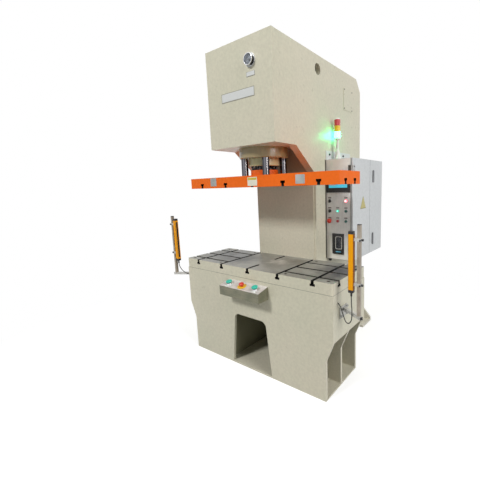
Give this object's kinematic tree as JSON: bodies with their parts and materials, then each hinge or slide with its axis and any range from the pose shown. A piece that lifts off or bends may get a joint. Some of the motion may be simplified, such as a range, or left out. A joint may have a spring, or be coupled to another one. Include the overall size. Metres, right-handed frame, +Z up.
{
  "type": "c-frame hydraulic press",
  "caption": "C-frame hydraulic press with a slotted table, a guided ram plate, a two-hand console, an operator cabinet, a signal tower and light curtains.",
  "frame": {"origin": "on the floor under the ram axis, at the underside of the floor plate", "axes": "+X to the right seen from the operator's side, +Y to the rear, +Z up"},
  "size_m": [1.728, 1.415, 2.32],
  "materials": {
    "cream_paint": "fine orange-peel gloss paint",
    "ground_steel": "surface ground, lightly oiled",
    "orange_paint": "gloss safety paint",
    "hard_chrome": "polished hard chrome",
    "bronze": "machined",
    "tank_paint": "semi-gloss paint",
    "motor_paint": "semi-gloss paint",
    "cast_grey": "as cast, painted",
    "machined_steel": "milled",
    "gauge_steel": "bright plated",
    "needle_black": "matt black",
    "clear_glass": "clear",
    "cabinet_paint": "fine texture powder coat",
    "panel_metal": "fine brushed",
    "zinc_hinge": "satin plated zinc",
    "black_plastic": "fine texture",
    "device_grey": "moulded housings on zinc plate",
    "green_plastic": "moulded",
    "red_plastic": "moulded",
    "lamp_plastic": "translucent lens",
    "lens_green": "ribbed translucent lens",
    "lens_amber": "ribbed translucent lens",
    "lens_red": "ribbed translucent lens",
    "tower_plastic": "moulded",
    "console_steel": "brushed stainless",
    "lid_plastic": "clear smoked",
    "yellow_profile": "yellow powder coat",
    "stand_steel": "satin stainless",
    "cable_rubber": "matt"
  },
  "bodies": {
    "frame": {"side_plate_left": "cream_paint", "side_plate_right": "cream_paint", "head_front_plate": "cream_paint", "head_top_plate": "cream_paint", "cylinder_seat_plate": "cream_paint", "throat_plate": "cream_paint", "rear_plate": "cream_paint", "rear_cover": "cream_paint", "base_front_plate": "cream_paint", "base_webs": "cream_paint", "floor_plate": "cream_paint", "side_skirts": "cream_paint", "work_table": "ground_steel", "access_cover": "cream_paint", "cylinder_barrel": "cream_paint", "guide_flange": "cream_paint", "guide_bushes": "bronze", "oil_tank": "tank_paint", "electric_motor": "motor_paint", "hydraulic_pump": "cast_grey", "valve_block": "machined_steel", "pressure_pipe": "machined_steel", "gauge_case": "gauge_steel", "gauge_glass": "clear_glass", "cabinet_box": "cabinet_paint", "door_hinges": "zinc_hinge", "device_plate": "device_grey", "operator_panel": "panel_metal", "touch_screen": "black_plastic", "panel_lamps": "lamp_plastic", "socket_frame": "black_plastic", "tower_stand": "tower_plastic", "tower_green": "lens_green", "tower_amber": "lens_amber", "tower_red": "lens_red", "console_box": "console_steel", "light_curtains": "yellow_profile", "curtain_stands": "stand_steel", "cable_left": "cable_rubber", "cable_right": "cable_rubber"},
    "ram": {"piston": "hard_chrome", "guide_rods": "hard_chrome", "ram_plate": "orange_paint", "ram_boss": "orange_paint"},
    "pump_shaft": {"pump_coupling": "machined_steel"},
    "needle": {"gauge_needle": "needle_black"},
    "door": {"cabinet_door": "cabinet_paint", "hinge_leaves": "zinc_hinge"},
    "upper_lock": {"lock_upper": "black_plastic"},
    "lower_lock": {"lock_lower": "black_plastic"},
    "upper_selector": {"selector_upper": "black_plastic"},
    "lower_selector": {"selector_lower": "black_plastic"},
    "green_button_upper": {"button_green_upper": "green_plastic"},
    "red_button": {"button_red": "red_plastic"},
    "green_button_lower": {"button_green_lower": "green_plastic"},
    "panel_stop_button": {"panel_stop": "red_plastic"},
    "socket_cover": {"socket_lid": "lid_plastic"},
    "left_hand_button": {"hand_button_left": "green_plastic"},
    "right_hand_button": {"hand_button_right": "green_plastic"},
    "console_stop_button": {"console_stop": "red_plastic"}
  },
  "joints": [
    {"name": "ram_slide", "type": "slide", "parent": "frame", "child": "ram", "axis": [0, 0, -1], "range_m": [0, 0.3]},
    {"name": "pump_spin", "type": "hinge", "parent": "frame", "child": "pump_shaft", "pos_m": [0, 0.6, 0.567], "axis": [0, 1, 0], "continuous": true},
    {"name": "needle_turn", "type": "hinge", "parent": "frame", "child": "needle", "pos_m": [0.124, -0.252, 2.173], "axis": [0, 1, 0], "range_deg": [0, 270]},
    {"name": "door_swing", "type": "hinge", "parent": "frame", "child": "door", "pos_m": [0.539, 0.396, 1.177], "axis": [0, 0, -1], "range_deg": [0, 110]},
    {"name": "upper_lock_turn", "type": "hinge", "parent": "door", "child": "upper_lock", "pos_m": [0.533, 0.814, 1.475], "axis": [-1, 0, 0], "range_deg": [0, 60]},
    {"name": "lower_lock_turn", "type": "hinge", "parent": "door", "child": "lower_lock", "pos_m": [0.533, 0.814, 0.932], "axis": [-1, 0, 0], "range_deg": [0, 60]},
    {"name": "upper_selector_turn", "type": "hinge", "parent": "frame", "child": "upper_selector", "pos_m": [0.336, 0.398, 1.251], "axis": [0, 1, 0], "range_deg": [-45, 45]},
    {"name": "lower_selector_turn", "type": "hinge", "parent": "frame", "child": "lower_selector", "pos_m": [0.336, 0.398, 1.171], "axis": [0, 1, 0], "range_deg": [-45, 45]},
    {"name": "green_upper_push", "type": "slide", "parent": "frame", "child": "green_button_upper", "axis": [0, 1, 0], "range_m": [0, 0.004], "stiffness_N_per_m": 800, "springref_m": -0.002},
    {"name": "red_push", "type": "slide", "parent": "frame", "child": "red_button", "axis": [0, 1, 0], "range_m": [0, 0.004], "stiffness_N_per_m": 800, "springref_m": -0.002},
    {"name": "green_lower_push", "type": "slide", "parent": "frame", "child": "green_button_lower", "axis": [0, 1, 0], "range_m": [0, 0.004], "stiffness_N_per_m": 800, "springref_m": -0.002},
    {"name": "panel_stop_push", "type": "slide", "parent": "frame", "child": "panel_stop_button", "axis": [0, 1, 0], "range_m": [0, 0.006]},
    {"name": "lid_lift", "type": "hinge", "parent": "frame", "child": "socket_cover", "pos_m": [0.41, 0.391, 0.982], "axis": [-1, 0, 0], "range_deg": [0, 100]},
    {"name": "left_hand_push", "type": "slide", "parent": "frame", "child": "left_hand_button", "axis": [0, 0.229, -0.9734], "range_m": [0, 0.006], "stiffness_N_per_m": 1200, "springref_m": -0.002},
    {"name": "right_hand_push", "type": "slide", "parent": "frame", "child": "right_hand_button", "axis": [0, 0.229, -0.9734], "range_m": [0, 0.006], "stiffness_N_per_m": 1200, "springref_m": -0.002},
    {"name": "console_stop_push", "type": "slide", "parent": "frame", "child": "console_stop_button", "axis": [0, 0.229, -0.9734], "range_m": [0, 0.006]}
  ]
}
